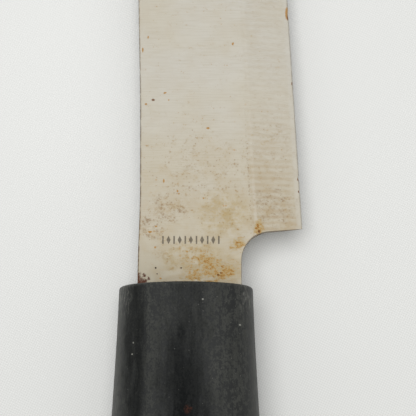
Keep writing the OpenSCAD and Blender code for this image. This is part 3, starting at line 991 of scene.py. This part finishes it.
def cap_material():
    sheet = Sheet("black_cap_resin")
    blotch = sheet.noise(4.0, seed=21, detail=4)
    fine = sheet.noise(0.3, seed=22, detail=4, roughness=0.7)
    worn = sheet.y.step(-SEAT_S - 3.0, -HANDLE_LEN) * fine.step(0.45, 0.7)
    colour = sheet.mix(blotch.step(0.4, 0.7), (0.0055, 0.006, 0.006), (0.014, 0.0145, 0.014))
    colour = sheet.mix(worn * 0.5, colour, (0.035, 0.035, 0.033))
    return sheet.finish(colour, 0.46 + fine * 0.12 - blotch * 0.06, fine * 0.7 + blotch * 0.6, 0.014)


def seal_material():
    sheet = Sheet("dark_sealing_resin")
    blotch = sheet.noise(1.4, seed=31, detail=4)
    fine = sheet.noise(0.2, seed=32, detail=3)
    colour = sheet.mix(blotch.step(0.35, 0.7), (0.028, 0.022, 0.016), (0.075, 0.055, 0.035))
    return sheet.finish(colour, 0.38 + fine * 0.25, fine + blotch, 0.02)


def core_material():
    sheet = Sheet("moulded_core_plastic")
    flow = sheet.noise(6.0, (1, 0.25, 1), seed=41, detail=4, warp=0.8)
    fine = sheet.noise(0.3, seed=42, detail=4, roughness=0.7)
    colour = sheet.mix(flow.step(0.35, 0.7), (0.20, 0.185, 0.15), (0.26, 0.24, 0.195))
    return sheet.finish(colour, 0.5 + fine * 0.2, fine * 0.6 + flow * 0.8, 0.02)


def pin_material():
    sheet = Sheet("drawn_pin_steel")
    lines = sheet.noise(0.12, (1, 1, 0.04), seed=51, detail=3)
    blotch = sheet.noise(1.6, seed=52, detail=3)
    colour = sheet.mix(blotch.step(0.4, 0.7), (0.56, 0.55, 0.52), (0.47, 0.44, 0.38))
    return sheet.finish(colour, 0.28 + lines * 0.2, lines, 0.01, Metallic=1.0)


def adhesive_material():
    sheet = Sheet("cured_amber_adhesive")
    flow = sheet.noise(5.0, (1, 0.3, 1), seed=61, detail=4, warp=1.0)
    away, chance = sheet.cells(1.8, seed=62)
    bubbles = away.step(0.34, 0.2) * chance.step(0.6, 0.7)
    colour = sheet.mix(flow.step(0.35, 0.7), (0.46, 0.30, 0.10), (0.58, 0.42, 0.18))
    colour = sheet.mix(bubbles * 0.5, colour, (0.70, 0.60, 0.38))
    roughness = 0.18 + flow * 0.16 + bubbles * 0.2
    return sheet.finish(colour, roughness, flow - bubbles * 0.7, 0.05, Coat_Weight=0.3)


def cloth_material():
    sheet = Sheet("pale_cloth")
    turn_x, turn_y = WEAVE_TURN
    warp_threads = sheet.math("SINE", (sheet.x * turn_x + sheet.y * turn_y) * (pi / THREAD))
    weft_threads = sheet.math("SINE", (sheet.y * turn_x - sheet.x * turn_y) * (pi / THREAD))
    weave = warp_threads * weft_threads
    cloud = sheet.noise(60.0, seed=71, detail=3)
    lint = sheet.noise(0.7, seed=72, detail=4, roughness=0.7)
    colour = sheet.mix(cloud.step(0.3, 0.7), (0.835, 0.84, 0.825), (0.85, 0.855, 0.84))
    # Painted pool of light: the cloth turns a little greyer, and its weave clearer, away from a place
    # beside the blade
    away = Value(sheet, sheet.vector("LENGTH", sheet.vector("SUBTRACT", sheet.place, LIGHT_POOL_MIDDLE)))
    away_squared = away * away
    light_falloff = sheet.math("DIVIDE", away_squared, away_squared + LIGHT_POOL_REACH ** 2)
    colour = sheet.mix(light_falloff * 0.5, colour, (0.66, 0.665, 0.645))
    clear = (0.25 + light_falloff * 1.6).min(0.9)
    colour = sheet.mix((weave * 0.5 + 0.5) * clear, colour, (0.68, 0.685, 0.665))
    return sheet.finish(colour, 0.9, weave * 0.5 + lint * 0.7, 0.03)


# -------- stage, light and camera

# Cloth: half its width and the gap under the knife, its threads, and the middle and reach of the pool of
# light painted on it
FLOOR_HALF = 4000.0
FLOOR_GAP = 0.02
THREAD = 0.34
WEAVE_TURN = (0.94, 0.34)
LIGHT_POOL_MIDDLE = (-10.0, 55.0, 0.0)
LIGHT_POOL_REACH = 120.0
# Even light of the room, and the backdrop that the camera sees
ROOM_STRENGTH = 0.44
BACKDROP_STRENGTH = 0.80
# Key light and ceiling, their places and the ceiling's width in metres
KEY_ANGLE = radians(44)
KEY_STRENGTH = 1.80
KEY_AT = (-0.10, 0.05, 1.0)
CEILING_WIDTH = 5.0
CEILING_POWER = 56.0
CEILING_AT = (0.0, 0.1, 1.5)
# Camera: focal length, sensor width, its place, and its tilt from looking straight down
LENS = 102.1
SENSOR_WIDTH = 36.0
CAMERA_AT = (4.4, -30.7, 236.5)
CAMERA_TILT = radians(11.3)


def floor_slope():
    """Slope of the plane that the knife rests on, with the underside of its handle and its tip."""
    s = np.linspace(20, SEAT_S, 400)
    underside = AXIS_Z - SECTION_RATIO * half_height(s)
    return float(np.max(-underside / (TIP_Y + s)))


def build_floor():
    slope = floor_slope()
    mesh = bpy.data.meshes.new("cloth_floor")
    flat = [(x * FLOOR_HALF, y * FLOOR_HALF) for x, y in ((-1, -1), (1, -1), (1, 1), (-1, 1))]
    points = [(x * MM, y * MM, ((y - TIP_Y) * slope - FLOOR_GAP) * MM) for x, y in flat]
    mesh.from_pydata(points, [], [(0, 1, 2, 3)])
    floor = add_object("cloth_floor", mesh)
    mesh.materials.append(cloth_material())


def build_world():
    """Soft even light from all round."""
    world = bpy.data.worlds.new("room_light")
    world.use_nodes = True
    tree = world.node_tree
    background = tree.nodes["Background"]
    background.inputs["Color"].default_value = (1.0, 1.0, 0.985, 1)
    # The camera sees a backdrop as pale as the cloth
    strength = tree.nodes.new("ShaderNodeMapRange")
    strength.inputs["To Min"].default_value = ROOM_STRENGTH
    strength.inputs["To Max"].default_value = BACKDROP_STRENGTH
    ray = tree.nodes.new("ShaderNodeLightPath")
    tree.links.new(ray.outputs["Is Camera Ray"], strength.inputs[0])
    tree.links.new(strength.outputs[0], background.inputs["Strength"])
    bpy.context.scene.world = world


def put_light(light, place):
    """Adds a light at a place, aimed at the knife, that the camera doesn't see."""
    obj = add_object(light.name, light)
    obj.location = Vector(place)
    obj.rotation_euler = Vector(place).to_track_quat("Z", "Y").to_euler()
    obj.visible_camera = False
    return obj


def build_lights():
    # A soft key light from high up, a little towards the tip, that leaves only faint shadows
    key = bpy.data.lights.new("key", "SUN")
    key.angle = KEY_ANGLE
    key.energy = KEY_STRENGTH
    put_light(key, KEY_AT).visible_glossy = False
    # A white ceiling that the steel and the resin mirror
    ceiling = bpy.data.lights.new("ceiling", "AREA")
    ceiling.shape = "DISK"
    ceiling.size = CEILING_WIDTH
    ceiling.energy = CEILING_POWER
    put_light(ceiling, CEILING_AT).visible_diffuse = False


def build_camera():
    camera = bpy.data.cameras.new("camera")
    camera.sensor_width = SENSOR_WIDTH
    camera.lens = LENS
    camera.clip_start = 0.01
    camera.clip_end = 50
    obj = add_object("camera", camera)
    obj.location = Vector(CAMERA_AT) * MM
    obj.rotation_euler = (CAMERA_TILT, 0, 0)
    bpy.context.scene.camera = obj


# -------- assembly

def place(obj, node, slot, material):
    """Shows obj in place of a CAD node, riding on the one body."""
    obj.data.materials.append(material)
    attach(obj, "root")
    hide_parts(node)


def dress(node, material):
    """Gives a CAD node that stays its better material."""
    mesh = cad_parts[node].data
    mesh.materials.clear()
    mesh.materials.append(material)


place(build_blade(), "blade", "blade_steel", blade_material())
place(build_handle(), "handle", "handle_resin", handle_material())
place(build_cap(), "butt_cap", "cap_resin", cap_material())
dress("neck_seal", seal_material())
dress("tang_holder", core_material())
dress("tang_pins", pin_material())
dress("tang_adhesive", adhesive_material())

build_floor()
build_world()
build_lights()
build_camera()
bpy.context.scene.view_settings.view_transform = "Standard"
